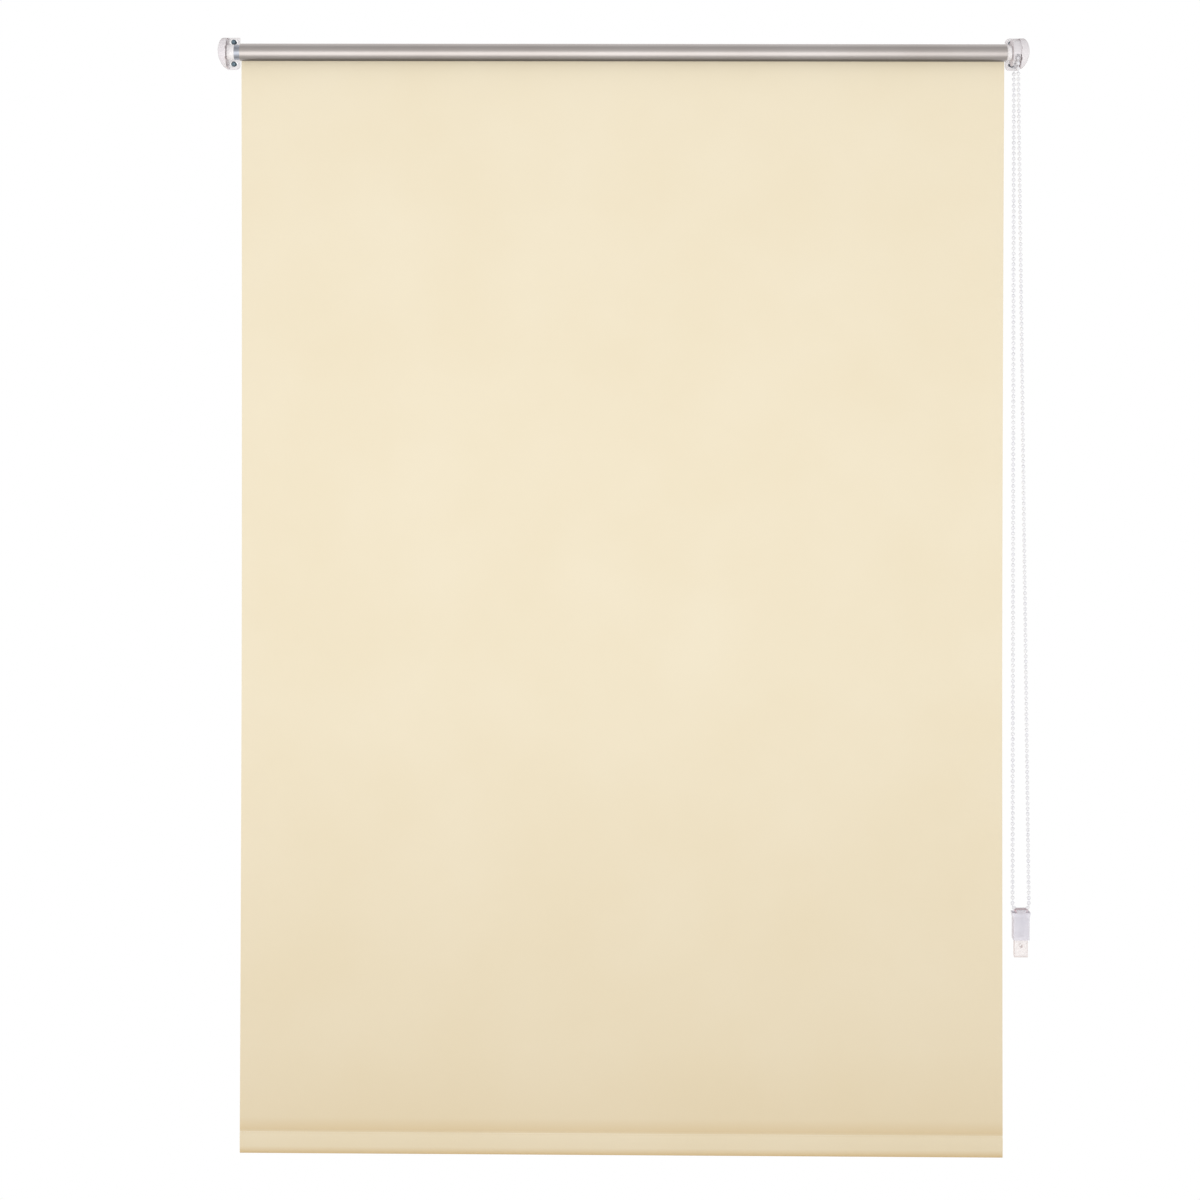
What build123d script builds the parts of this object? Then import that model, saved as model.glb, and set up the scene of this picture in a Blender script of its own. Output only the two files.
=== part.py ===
from build123d import *
from math import cos, hypot, pi, sin
import os

# Blackout roller blind with a bead chain drive, hanging fully lowered on two wall brackets.
# Millimetres. +X to the right as seen from the room, +Y into the wall, +Z up.
# The origin lies on the wall, midway between the brackets, at the height of the roller axis.

# Overall layout
AXIS_DEPTH = 20.5          # roller axis in front of the wall
CLOTH_WIDTH = 868.0
CLOTH_DROP = 1255.0        # roller axis to the bottom edge of the hem

# Roller
TUBE_RADIUS = 8.5
TUBE_WALL = 0.8
TUBE_BARE_LENGTH = 6.5     # tube left uncovered at the idle end
TUBE_OVER = 0.3            # tube beyond the cloth at the drive end
CLOTH = 0.45               # thickness of the coated cloth
TURN_GAP = 0.05            # air between one turn and the next
HALF_TURNS = 4             # half turns left on the roller with the blind fully down
TAPE = 0.12                # double-sided tape that holds the cloth to the tube
TAPE_WIDTH = 12.0
TAPE_BED = 0.03            # adhesive on each side of the tape
FIT = 0.05                 # radial clearance of a running or sliding fit
SEAT = 0.1                 # clearance where one fixed piece drops into another

# Hem and weight bar
HEM_HEIGHT = 24.5          # stitch line to the bottom edge
HEM_ALLOWANCE = 3.0        # cut edge above the stitch line
BAR_HEIGHT = 20.0
BAR_THICKNESS = 2.6
BAR_SHORTER = 4.0          # how far the bar stops inside each edge of the cloth

# Brackets
PLATE_HALF = 18.4          # half the height of a wall plate
PLATE_LENGTH = 14.1        # inner edge of the wall plate to the outside of the side plate
BRACKET_DROP = 0.8         # middle of the bracket below the roller axis
PLATE = 3.0                # wall plate thickness
SIDE_PLATE = 1.6
SIDE_CHAMFER = 1.0
PLATE_RIM = 0.8            # raised border of the wall plate
RIM_WIDTH = 1.0
EAR_RADIUS = 5.0           # rounded corner of a wall plate
SQUARE_RADIUS = 0.8        # nearly square upper corner of the idle bracket
PLATE_CLEAR = 2.8          # cloth edge to the inner edge of the wall plate
SLOT_WIDTH = 5.4
IDLE_SLOT = 9.4            # slot length in the idle bracket
DRIVE_SLOT = 7.4           # slot length in the drive bracket
SLOT_SPACING = 25.0        # upper slot to lower slot
SCREW_FROM_EDGE = 7.1      # screw axis to the inner edge of the wall plate

# Covers
COVER_RADIUS = 17.4        # rounded front, and half the height
COVER_WALL = 1.0
COVER_RIM = 0.8            # how far the rim stands inside the side plate
COVER_OFF_WALL = 0.3
COVER_DEPTH = 8.9          # rim to crown
CROWN_RADIUS = 36.0
CROWN_RISE = 3.3           # crown above the middle of the bracket
COVER_ROUND = 2.4
COVER_FIT = 0.15
LATCH_WIDTH = 3.0
LATCH_HEIGHT = 6.0         # latch windows above and below the middle

# Fixing screws
SCREW_RADIUS = 1.75
HEAD_RADIUS = 3.1
HEAD_TOP_RADIUS = 1.9
HEAD_HEIGHT = 2.0
NECK_RADIUS = 1.4          # plain neck where the screw passes the wall plate
SCREW_LENGTH = 16.0        # under the head
SCREW_TIP = 3.0
RECESS_WIDTH = 0.9
RECESS_DEPTH = 1.0
RECESS_TURN = 20           # degrees that the cross recess is turned

# Bead chain and its wheel
BEAD_PITCH = 6.0
BEAD_RADIUS = 2.25
LINK_RADIUS = 0.6
BEAD_WAIST = 1.25          # half length of the widest part of a bead
POCKETS = 12
BEADS = 334
CHAIN_SIDES = 4
WHEEL_WIDTH = 7.0
WHEEL_RIM = 0.3            # rim over the pitch circle
WHEEL_CLEAR = 0.3          # chain wheel to the housing and the side plate
POCKET_CLEAR = 0.3
LINK_GROOVE = 1.3          # half width of the groove between two pockets

# Drive end
POST_RADIUS = 3.0
POST_LENGTH = 29.0         # from the side plate into the tube
KEY_WIDTH = 4.4
PIN_CHAMFER = 0.5
BEARING_LENGTH = 3.0       # plain bearing of the wheel on the post
HUB_SHORTER = 1.0          # hub behind the end of the post
HUB_WALL = 0.7
SPRING_WIRE = 0.8
CLUTCH_COILS = 4
HOUSING_WALL = 1.2
HOUSING_RADIUS = 15.2
HOUSING_MOUTH = -2.0       # the front of the housing is open below this height
FLANGE_LOWER = 0.3         # collar of the drive plug, below the outside of the tube
PLUG_LENGTH = 30.0         # part of a plug inside the tube
PLUG_RIB = 1.0
PLUG_RIBS = 6

# Idle end
COLLAR_HIGHER = 0.3        # collar of the idle plug, above the outside of the tube
COLLAR_LENGTH = 8.0
PIN_RADIUS = 2.1
PIN_HEAD_RADIUS = 3.2
PIN_HEAD_LENGTH = 1.5
PIN_HEAD_DEPTH = 1.0       # head of the pin behind the end of the tube
PLUG_FLOOR = 3.0           # closed end of the plug behind the spring
IDLE_COILS = 4
BOSS_HEIGHT = 0.5
BOSS_RADIUS = 4.2

# Chain tensioner
SADDLE_RADIUS = 9.2        # pitch radius of the chain under the saddle
SADDLE_FLANGE = 8.6
SADDLE_CUT = 3.0           # flat top below the middle of the saddle
SADDLE_CLEAR = 0.05        # bead to each flange of the saddle
FLANGE_WALL = 0.3
CRADLE_CLEAR = 0.3         # bead to the case under the saddle
CHEEK_WIDTH = 10.4
CASE_WIDTH = 18.2
CASE_DEPTH = 10.0
CASE_TOP = 6.3             # top of the case below the middle of the saddle
CASE_HEIGHT = 30.9
CASE_WALL = 1.2
WING = 1.4                 # how far the funnel corners flare
WING_HEIGHT = 6.0
SLIDER_FIT = 0.25
SLIDER_HEIGHT = 23.0       # part of the slider inside the case
SLIDER_TAB = 20.0          # part below the case
TAB_NARROWER = 0.4
TAB_HOLE_RADIUS = 1.9
TAB_HOLE_DOWN = 7.1        # hole below the case
SPRING_SLOT_WIDTH = 5.2
SPRING_SLOT_HEIGHT = 17.0
TENSION_COILS = 4
PEG_HEIGHT = 1.6
PEG_UP = 4.0               # underside of the peg above the foot of the case
FOOT_CHAMFER = 1.2

# Positions worked out from the sizes above
cloth_edge = CLOTH_WIDTH / 2
plate_inner = cloth_edge + PLATE_CLEAR
side_outer = plate_inner + PLATE_LENGTH
side_inner = side_outer - SIDE_PLATE
cover_inner = side_inner - COVER_RIM
cover_outer = cover_inner + COVER_DEPTH
side_radius = COVER_RADIUS - COVER_WALL - COVER_FIT
screw_x = plate_inner + SCREW_FROM_EDGE
tube_inner = TUBE_RADIUS - TUBE_WALL
tube_left = -cloth_edge - TUBE_BARE_LENGTH
tube_right = cloth_edge + TUBE_OVER
collar_end = tube_left - COLLAR_LENGTH
wheel_outer = side_inner - 2 * WHEEL_CLEAR
wheel_inner = wheel_outer - WHEEL_WIDTH
chain_x = (wheel_outer + wheel_inner) / 2
wheel_pitch = POCKETS * BEAD_PITCH / (2 * pi)
housing_inner = wheel_inner - 2 * WHEEL_CLEAR - HOUSING_WALL
flange_end = housing_inner - WHEEL_CLEAR
post_end = side_inner - POST_LENGTH
turn_pitch = CLOTH + TURN_GAP
tape_inner = TUBE_RADIUS + TAPE_BED
roll_inner = tape_inner + TAPE + TAPE_BED + HALF_TURNS * turn_pitch / 2
sheet_front = roll_inner - AXIS_DEPTH
hem_top = -CLOTH_DROP + HEM_HEIGHT + HEM_ALLOWANCE
saddle_x = chain_x + SADDLE_RADIUS
saddle_y = wheel_pitch - AXIS_DEPTH
# The back strand hangs plumb. The front one slants by the spread, and both with the two bends make the loop.
strand_spread = hypot(2 * SADDLE_RADIUS, 2 * wheel_pitch)
strands = BEADS * BEAD_PITCH - pi * (wheel_pitch + SADDLE_RADIUS)
saddle_drop = (strands ** 2 - strand_spread ** 2) / (2 * strands)


def across(x):
    """Plane square to the roller at x, centred on its axis: local x is +Y, local y is +Z."""
    return Plane(origin=(x, -AXIS_DEPTH, 0), x_dir=(0, 1, 0), z_dir=(1, 0, 0))


def rod(x_from, x_to, radius, bore=0.0):
    """Round bar or bush on the roller axis."""
    section = Circle(radius)
    if bore:
        section -= Circle(bore)
    return extrude(across(x_from) * section, amount=x_to - x_from)


def block(x_from, x_to, y_from, y_to, z_from, z_to):
    """Plain block between two corners."""
    middle = Pos((x_from + x_to) / 2, (y_from + y_to) / 2, (z_from + z_to) / 2)
    return middle * Box(x_to - x_from, y_to - y_from, z_to - z_from)


def d_section(radius, back_gap):
    """D outline round the roller axis: a half round towards the room, square at the wall."""
    depth = AXIS_DEPTH - back_gap
    outline = Circle(radius) + Pos(depth / 2, 0) * Rectangle(depth, 2 * radius)
    return Pos(0, -BRACKET_DROP) * outline


def flip(shape):
    """The same piece on the other end of the blind."""
    return mirror(shape, about=Plane.YZ)


# Brackets

def bracket(slot_length, upper_corner, socket):
    """Moulded bracket for the right end: slotted wall plate and a D side plate with its socket."""
    length = side_outer - plate_inner
    height = 2 * PLATE_HALF
    wall = Plane(origin=(plate_inner, 0, -BRACKET_DROP), x_dir=(1, 0, 0), z_dir=(0, -1, 0))
    outline = Pos(length / 2, 0) * Rectangle(length, height)
    corners = outline.vertices().filter_by_position(Axis.X, -0.1, 0.1).sort_by(Axis.Y)
    outline = fillet(corners[0], EAR_RADIUS)
    corners = outline.vertices().filter_by_position(Axis.X, -0.1, 0.1).sort_by(Axis.Y)
    outline = fillet(corners[-1], upper_corner)
    plate = extrude(wall * outline, amount=PLATE + PLATE_RIM)
    field = Pos(length / 2 + RIM_WIDTH, 0) * Rectangle(length, height - 2 * RIM_WIDTH)
    inner_corners = field.vertices().filter_by_position(Axis.X, 0, 2 * RIM_WIDTH)
    field = fillet(inner_corners, EAR_RADIUS - RIM_WIDTH)
    plate -= extrude(wall.offset(PLATE) * field, amount=2 * PLATE_RIM)
    slots = Sketch()
    for side in (-1, 1):
        middle = side * SLOT_SPACING / 2 + BRACKET_DROP
        slots += Pos(SCREW_FROM_EDGE, middle) * SlotOverall(slot_length, SLOT_WIDTH)
    plate -= extrude(wall * slots, amount=PLATE)
    side_plate = extrude(across(side_inner) * d_section(side_radius, 0), amount=SIDE_PLATE)
    outer_edges = side_plate.faces().sort_by(Axis.X)[-1].edges().sort_by(Axis.Y)
    side_plate = chamfer(outer_edges[:-1], SIDE_CHAMFER)
    return plate + side_plate - socket


drive_socket = extrude(across(side_inner) * Rectangle(KEY_WIDTH, KEY_WIDTH), amount=SIDE_PLATE)
idle_boss = rod(side_inner - BOSS_HEIGHT, side_inner, BOSS_RADIUS)
idle_socket = rod(side_inner - BOSS_HEIGHT, side_outer, PIN_RADIUS + FIT)
bracket_right = bracket(DRIVE_SLOT, EAR_RADIUS, drive_socket)
bracket_left = flip(bracket(IDLE_SLOT, SQUARE_RADIUS, idle_socket) + idle_boss - idle_socket)


def cover_body(inset):
    """Domed D block of the cover, drawn in by an inset on all its outer faces."""
    crown = CROWN_RADIUS - inset
    outline = d_section(COVER_RADIUS - inset, inset + COVER_OFF_WALL)
    prism = extrude(across(cover_inner) * outline, amount=COVER_DEPTH)
    barrel = Pos(cover_outer - CROWN_RADIUS, 0, CROWN_RISE - BRACKET_DROP) * Rot(90, 0, 0)
    prism &= barrel * Cylinder(crown, 4 * AXIS_DEPTH)
    outer_edges = prism.faces().sort_by(Axis.X)[-1].edges().sort_by(Axis.Y)
    return fillet(outer_edges[:-1], COVER_ROUND - inset)


def cover():
    """Clip-on end cover for the right bracket, open towards the roller."""
    shell = cover_body(0) - cover_body(COVER_WALL)
    # The back is cut away where the wall plate passes.
    shell -= block(plate_inner, side_outer + SEAT, -PLATE - PLATE_RIM - SEAT, AXIS_DEPTH,
                   -AXIS_DEPTH - PLATE, AXIS_DEPTH)
    front = -AXIS_DEPTH - COVER_RADIUS
    for side in (-1, 1):
        z = side * LATCH_HEIGHT - BRACKET_DROP
        shell -= block(cover_inner, cover_inner + COVER_RIM, front, -AXIS_DEPTH - COVER_RADIUS / 2,
                       z - LATCH_WIDTH / 2, z + LATCH_WIDTH / 2)
    return shell


cover_right = cover()
cover_left = flip(cover_right)


def screw():
    """Pan head screw on the Y axis with its head seated at Y = 0 and its point towards +Y."""
    half = Polyline(
        (0, -HEAD_HEIGHT), (HEAD_TOP_RADIUS, -HEAD_HEIGHT), (HEAD_RADIUS, 0), (NECK_RADIUS, 0),
        (NECK_RADIUS, PLATE), (SCREW_RADIUS, PLATE), (SCREW_RADIUS, SCREW_LENGTH - SCREW_TIP),
        (0, SCREW_LENGTH), close=True,
    )
    turned = revolve(make_face(half), axis=Axis.Y)
    for turn in (RECESS_TURN, RECESS_TURN + 90):
        arm = Box(HEAD_RADIUS, 2 * RECESS_DEPTH, RECESS_WIDTH)
        turned -= Pos(0, -HEAD_HEIGHT, 0) * Rot(0, turn, 0) * arm
    return turned


def screw_pair(x):
    """The two fixing screws of one bracket."""
    heights = [side * SLOT_SPACING / 2 for side in (-1, 1)]
    return Compound([Pos(x, -PLATE, z) * screw() for z in heights])


# Roller and cloth

def cloth_turns():
    """The turns left on the roller: half rounds whose middles step to and fro, so the strip spirals."""
    turns = Sketch()
    for i in range(HALF_TURNS):
        side = 1 if i % 2 == 0 else -1
        radius = roll_inner - turn_pitch / 4 - i * turn_pitch / 2
        ring = Circle(radius + CLOTH) - Circle(radius)
        ring &= Pos(0, side * 2 * radius) * Rectangle(4 * radius, 4 * radius)
        turns += Pos(side * turn_pitch / 4, 0) * ring
    return extrude(across(-cloth_edge) * turns, amount=CLOTH_WIDTH)


def fixing_tape():
    """Strip of tape under the start of the first turn."""
    ring = Circle(tape_inner + TAPE) - Circle(tape_inner)
    side = 1 if HALF_TURNS % 2 == 0 else -1
    strip = ring & Pos(side * TUBE_RADIUS, 0) * Rectangle(TUBE_RADIUS, TAPE_WIDTH)
    return extrude(across(-cloth_edge) * strip, amount=CLOTH_WIDTH)


def cloth_sheet():
    """The hanging cloth, from the back of the roll to the hem."""
    return block(-cloth_edge, cloth_edge, sheet_front, sheet_front + CLOTH, hem_top, 0)


def hem_profile():
    """Section of the hem in (Y, Z): flat face to the room, pocket bulging to the wall."""
    bottom = -CLOTH_DROP
    stitch = bottom + HEM_HEIGHT
    front = sheet_front
    bulge = front + 2 * CLOTH + BAR_THICKNESS + 2 * SEAT
    bar_top = bottom + CLOTH + BAR_HEIGHT + 2 * SEAT
    outer = Polyline(
        (front, bottom), (bulge, bottom), (bulge, bar_top), (front + 2 * CLOTH, stitch),
        (front + 2 * CLOTH, hem_top), (front, hem_top), close=True,
    )
    pocket = Polyline(
        (front + CLOTH, bottom + CLOTH), (bulge - CLOTH, bottom + CLOTH), (bulge - CLOTH, bar_top),
        (front + CLOTH, stitch), close=True,
    )
    outline = make_face(outer)
    outline = fillet(outline.vertices().group_by(Axis.Y)[0], CLOTH + BAR_THICKNESS / 2)
    hollow = make_face(pocket)
    hollow = fillet(hollow.vertices().group_by(Axis.Y)[0], BAR_THICKNESS / 2)
    return outline - hollow


def hem():
    """Sewn hem with its open-ended pocket."""
    lengthwise = Plane(origin=(-cloth_edge, 0, 0), x_dir=(0, 1, 0), z_dir=(1, 0, 0))
    return extrude(lengthwise * hem_profile(), amount=CLOTH_WIDTH)


def bottom_bar():
    """Flat weight bar with rounded edges, inside the hem pocket."""
    middle = Plane(
        origin=(-cloth_edge + BAR_SHORTER, sheet_front + CLOTH + SEAT + BAR_THICKNESS / 2,
                -CLOTH_DROP + CLOTH + SEAT + BAR_HEIGHT / 2),
        x_dir=(0, 1, 0), z_dir=(1, 0, 0),
    )
    section = RectangleRounded(BAR_THICKNESS, BAR_HEIGHT, BAR_THICKNESS / 2 - FIT)
    return extrude(middle * section, amount=CLOTH_WIDTH - 2 * BAR_SHORTER)


roller_tube = rod(tube_left, tube_right, TUBE_RADIUS, tube_inner)


# Idle end

def plug_core(x_from, x_to):
    """Ribbed part of a plug inside the tube."""
    core_radius = tube_inner - FIT - PLUG_RIB
    core = rod(x_from, x_to, core_radius)
    for i in range(PLUG_RIBS):
        rib = Box(x_to - x_from, tube_inner - FIT - core_radius / 2, PLUG_RIB)
        middle = Pos((x_from + x_to) / 2, -AXIS_DEPTH, 0)
        reach = Pos(0, (tube_inner - FIT + core_radius / 2) / 2, 0)
        core += middle * Rot(360 * i / PLUG_RIBS, 0, 0) * reach * rib
    return core & rod(x_from, x_to, tube_inner - FIT)


pin_head = tube_left + PIN_HEAD_DEPTH
spring_room = pin_head + PIN_HEAD_LENGTH
chamber_end = tube_left + PLUG_LENGTH - PLUG_FLOOR


def idle_plug():
    """Plug with its collar, stepped through for the pin and the spring."""
    plug = plug_core(tube_left, tube_left + PLUG_LENGTH)
    plug += rod(collar_end, tube_left, TUBE_RADIUS + COLLAR_HIGHER)
    plug -= rod(collar_end, pin_head, PIN_RADIUS + FIT)
    return plug - rod(pin_head, chamber_end, PIN_HEAD_RADIUS + 2 * FIT)


def idle_pin():
    """Spring-loaded pin that turns in the socket of the idle bracket."""
    tip = -side_outer + SEAT
    shaft = rod(tip, pin_head, PIN_RADIUS) + rod(pin_head, spring_room, PIN_HEAD_RADIUS)
    return chamfer(shaft.edges().group_by(Axis.X)[0], PIN_CHAMFER)


def coil(x_from, x_to, inner_radius, turns):
    """Coil spring on the roller axis, wound from square wire."""
    rise = x_to - x_from - SPRING_WIRE
    radius = inner_radius + SPRING_WIRE / 2
    path = Helix(pitch=rise / turns, height=rise, radius=radius)
    start = Plane(origin=path @ 0, x_dir=(1, 0, 0), z_dir=path % 0)
    wire = sweep(start * Rectangle(SPRING_WIRE, SPRING_WIRE), path=path, is_frenet=True)
    return Pos(x_from + SPRING_WIRE / 2, -AXIS_DEPTH, 0) * Rot(0, 90, 0) * wire


# Drive end

def drive_plug():
    """Plug with its collar, bored for the hub of the chain wheel."""
    plug = plug_core(tube_right - PLUG_LENGTH, tube_right)
    plug += rod(tube_right, flange_end, TUBE_RADIUS - FLANGE_LOWER)
    plug -= rod(post_end - WHEEL_CLEAR, flange_end, hub_radius + FIT)
    return plug


spring_outer = POST_RADIUS + FIT + SPRING_WIRE
hub_radius = spring_outer + FIT + HUB_WALL
hub_end = post_end + HUB_SHORTER
bearing_end = wheel_inner - BEARING_LENGTH


def chain_wheel():
    """Pocketed wheel and its hub, which turns on the fixed post."""
    wheel = rod(wheel_inner, wheel_outer, wheel_pitch + WHEEL_RIM)
    wheel += rod(hub_end, wheel_inner, hub_radius)
    wheel -= rod(hub_end, wheel_outer, POST_RADIUS + FIT)
    wheel -= rod(hub_end, bearing_end, spring_outer + FIT)
    wheel -= rod(chain_x - LINK_GROOVE, chain_x + LINK_GROOVE, 2 * wheel_pitch, wheel_pitch - LINK_GROOVE)
    pocket_radius = BEAD_RADIUS + POCKET_CLEAR
    bottom = Plane(origin=(chain_x, wheel_pitch - pocket_radius - AXIS_DEPTH, 0),
                   x_dir=(1, 0, 0), z_dir=(0, 1, 0))
    outline = RegularPolygon(pocket_radius, 6, major_radius=False, rotation=30)
    pocket = extrude(bottom * outline, amount=2 * pocket_radius)
    about = Axis((0, -AXIS_DEPTH, 0), (1, 0, 0))
    for i in range(POCKETS):
        wheel -= pocket.rotate(about, 360 * i / POCKETS)
    return wheel


def clutch_post():
    """Fixed post keyed into the drive bracket."""
    post = rod(post_end, side_inner, POST_RADIUS)
    key = Rectangle(KEY_WIDTH - SEAT, KEY_WIDTH - SEAT)
    post += extrude(across(side_inner) * key, amount=SIDE_PLATE)
    return chamfer(post.edges().group_by(Axis.X)[0], PIN_CHAMFER)


def drive_housing():
    """Drum over the chain wheel, with open front and foot for the chain."""
    drum = rod(housing_inner, side_inner, HOUSING_RADIUS, HOUSING_RADIUS - HOUSING_WALL)
    drum -= block(housing_inner, side_inner, -AXIS_DEPTH - HOUSING_RADIUS, -AXIS_DEPTH + HOUSING_RADIUS,
                  -HOUSING_RADIUS, HOUSING_MOUTH)
    drum += rod(housing_inner, housing_inner + HOUSING_WALL, HOUSING_RADIUS)
    drum -= rod(housing_inner, housing_inner + HOUSING_WALL, hub_radius + WHEEL_CLEAR)
    return drum


# Bead chain

def chain_station(s):
    """Centre, direction and side vector of the chain at a length s from the back of the wheel."""
    wheel_arc = pi * wheel_pitch
    saddle_arc = pi * SADDLE_RADIUS
    back = Vector(chain_x, wheel_pitch - AXIS_DEPTH, 0)
    front = Vector(chain_x, -wheel_pitch - AXIS_DEPTH, 0)
    right = Vector(saddle_x + SADDLE_RADIUS, saddle_y, -saddle_drop)
    left = Vector(saddle_x - SADDLE_RADIUS, saddle_y, -saddle_drop)
    front_run = (right - front).length
    if s < wheel_arc:
        angle = s / wheel_pitch
        centre = Vector(chain_x, wheel_pitch * cos(angle) - AXIS_DEPTH, wheel_pitch * sin(angle))
        return centre, Vector(0, -sin(angle), cos(angle)), Vector(1, 0, 0)
    s -= wheel_arc
    if s < front_run:
        part = s / front_run
        side = Vector(cos(part * pi / 2), -sin(part * pi / 2), 0)
        return front + (right - front) * part, (right - front).normalized(), side
    s -= front_run
    if s < saddle_arc:
        angle = s / SADDLE_RADIUS
        centre = Vector(saddle_x + SADDLE_RADIUS * cos(angle), saddle_y,
                        -saddle_drop - SADDLE_RADIUS * sin(angle))
        return centre, Vector(-sin(angle), 0, -cos(angle)), Vector(0, -1, 0)
    part = (s - saddle_arc) / (back - left).length
    side = Vector(sin(part * pi / 2), -cos(part * pi / 2), 0)
    return left + (back - left) * part, (back - left).normalized(), side


def bead():
    """One flat-sided bead along Z, drawn down to the cord at both ends."""
    stations = [
        (-BEAD_PITCH / 2, LINK_RADIUS), (-BEAD_WAIST, BEAD_RADIUS),
        (BEAD_WAIST, BEAD_RADIUS), (BEAD_PITCH / 2, LINK_RADIUS),
    ]
    angles = [2 * pi * i / CHAIN_SIDES for i in range(CHAIN_SIDES + 1)]
    rings = [[Vector(radius * cos(a), radius * sin(a), z) for a in angles] for z, radius in stations]
    faces = [Face(Wire.make_polygon(ring[:-1])) for ring in (rings[0], rings[-1])]
    for lower, upper in zip(rings, rings[1:]):
        for i in range(CHAIN_SIDES):
            faces.append(Face(Wire.make_polygon([lower[i], lower[i + 1], upper[i + 1], upper[i]])))
    return Solid(Shell(faces))


def bead_chain():
    """Endless moulded chain: beads joined by a thin cord, each bead in its place on the loop."""
    one = bead()
    beads = []
    for i in range(BEADS):
        centre, direction, side = chain_station(i * BEAD_PITCH)
        beads.append(one.moved(Location(Plane(origin=centre, x_dir=side, z_dir=direction))))
    return Compound(beads)


# Chain tensioner

case_top = -saddle_drop - CASE_TOP
case_bottom = case_top - CASE_HEIGHT
facing = Plane(origin=(saddle_x, saddle_y, 0), x_dir=(1, 0, 0), z_dir=(0, -1, 0))
groove_radius = SADDLE_RADIUS - BEAD_RADIUS
cheek_gap = BEAD_RADIUS + SADDLE_CLEAR + FLANGE_WALL
slider_width = CASE_WIDTH - 2 * CASE_WALL - 2 * SLIDER_FIT
slider_depth = CASE_DEPTH - 2 * CASE_WALL - 2 * SLIDER_FIT
slot_bottom = case_bottom + PEG_UP
slot_top = slot_bottom + SPRING_SLOT_HEIGHT


def facing_block(width, depth, z_from, z_to):
    """Block centred on the tensioner."""
    return block(saddle_x - width / 2, saddle_x + width / 2, saddle_y - depth / 2, saddle_y + depth / 2,
                 z_from, z_to)


def half_disc(radius, depth, cut):
    """Lower part of a disc about the middle of the saddle, cut flat below its middle."""
    disc = extrude(facing * Pos(0, -saddle_drop) * Circle(radius), amount=depth / 2, both=True)
    return disc & facing_block(3 * radius, 2 * depth, -saddle_drop - 2 * radius, -saddle_drop - cut)


def tensioner_case():
    """Clear case with flared upper corners, a cradle for the chain and two cheeks for the saddle."""
    flare = case_top - WING_HEIGHT
    half = CASE_WIDTH / 2
    outline = Polyline(
        (-half, case_bottom), (half, case_bottom), (half, flare), (half + WING, case_top),
        (-half - WING, case_top), (-half, flare), close=True,
    )
    case = extrude(facing * make_face(outline), amount=CASE_DEPTH / 2, both=True)
    case -= half_disc(SADDLE_RADIUS + BEAD_RADIUS + CRADLE_CLEAR, 2 * cheek_gap, 0)
    case -= facing_block(CASE_WIDTH - 2 * CASE_WALL, CASE_DEPTH - 2 * CASE_WALL, case_bottom,
                         case_bottom + SLIDER_HEIGHT + CASE_WALL)
    cheeks = half_disc(groove_radius, CASE_DEPTH, SADDLE_CUT)
    cheeks += facing_block(CHEEK_WIDTH, CASE_DEPTH, case_top - WING_HEIGHT, -saddle_drop - SADDLE_CUT)
    case += cheeks - facing_block(4 * CASE_WIDTH, 2 * cheek_gap, case_bottom, 0)
    # The peg across the case that the spring presses on.
    return case + facing_block(SPRING_SLOT_WIDTH - 4 * SEAT, CASE_DEPTH - CASE_WALL,
                               slot_bottom, slot_bottom + PEG_HEIGHT)


def tensioner_saddle():
    """Half-round guide with a groove that the chain runs under."""
    saddle = half_disc(groove_radius, 2 * cheek_gap, SADDLE_CUT)
    rim = half_disc(SADDLE_FLANGE, 2 * cheek_gap, SADDLE_CUT)
    rim -= half_disc(2 * SADDLE_FLANGE, 2 * (BEAD_RADIUS + SADDLE_CLEAR), 0)
    return saddle + rim


def tensioner_slider():
    """Sliding foot: a slotted tongue inside the case and a tab with the screw hole below it."""
    tongue = facing_block(slider_width, slider_depth, case_bottom, case_bottom + SLIDER_HEIGHT)
    tab = facing_block(slider_width - TAB_NARROWER, slider_depth, case_bottom - SLIDER_TAB, case_bottom)
    foot = tab.edges().filter_by(Axis.X).group_by(Axis.Z)[0]
    tab = chamfer(foot, FOOT_CHAMFER)
    slider = tongue + tab
    slider -= facing_block(SPRING_SLOT_WIDTH, CASE_DEPTH, slot_bottom - SEAT, slot_top)
    hole = facing * Pos(0, case_bottom - TAB_HOLE_DOWN) * Circle(TAB_HOLE_RADIUS)
    return slider - extrude(hole, amount=CASE_DEPTH, both=True)


def tension_spring():
    """Coil spring in the slot of the slider, above the peg."""
    bottom = slot_bottom + PEG_HEIGHT
    rise = slot_top - bottom - SPRING_WIRE
    path = Helix(pitch=rise / TENSION_COILS, height=rise, radius=SPRING_SLOT_WIDTH / 2 - SPRING_WIRE)
    start = Plane(origin=path @ 0, x_dir=(1, 0, 0), z_dir=path % 0)
    wire = sweep(start * Rectangle(SPRING_WIRE, SPRING_WIRE), path=path, is_frenet=True)
    return Pos(saddle_x, saddle_y, bottom + SPRING_WIRE / 2) * wire


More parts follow.
